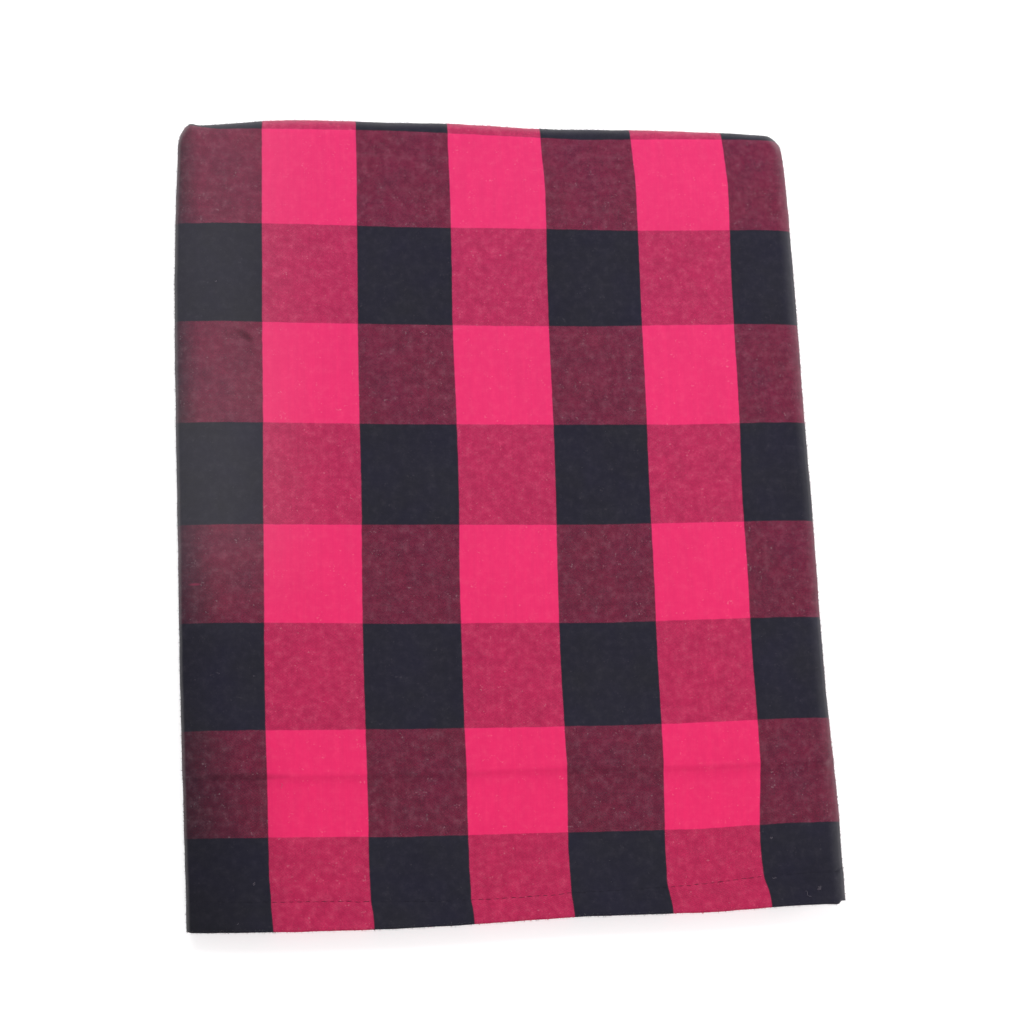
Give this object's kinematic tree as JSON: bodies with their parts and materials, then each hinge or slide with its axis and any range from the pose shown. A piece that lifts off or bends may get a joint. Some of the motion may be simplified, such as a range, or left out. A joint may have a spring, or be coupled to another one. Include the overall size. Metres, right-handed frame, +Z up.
{
  "type": "maasai shuka blanket",
  "caption": "Large checked cotton wrap blanket with stitched hems, folded across and along into a flat rectangular pack with a rolled far edge.",
  "frame": {"origin": "on the resting plane, under the middle of the folded wrap's box", "axes": "+X across the folded wrap to the right, +Y along it from the hem end to the far rolled fold, +Z up"},
  "size_m": [0.3872, 0.4808, 0.0223],
  "materials": {
    "checked_cotton": "matte plain weave in black and pink-red checks"
  },
  "bodies": {
    "root": {"shuka_cloth": "checked_cotton"}
  },
  "joints": []
}
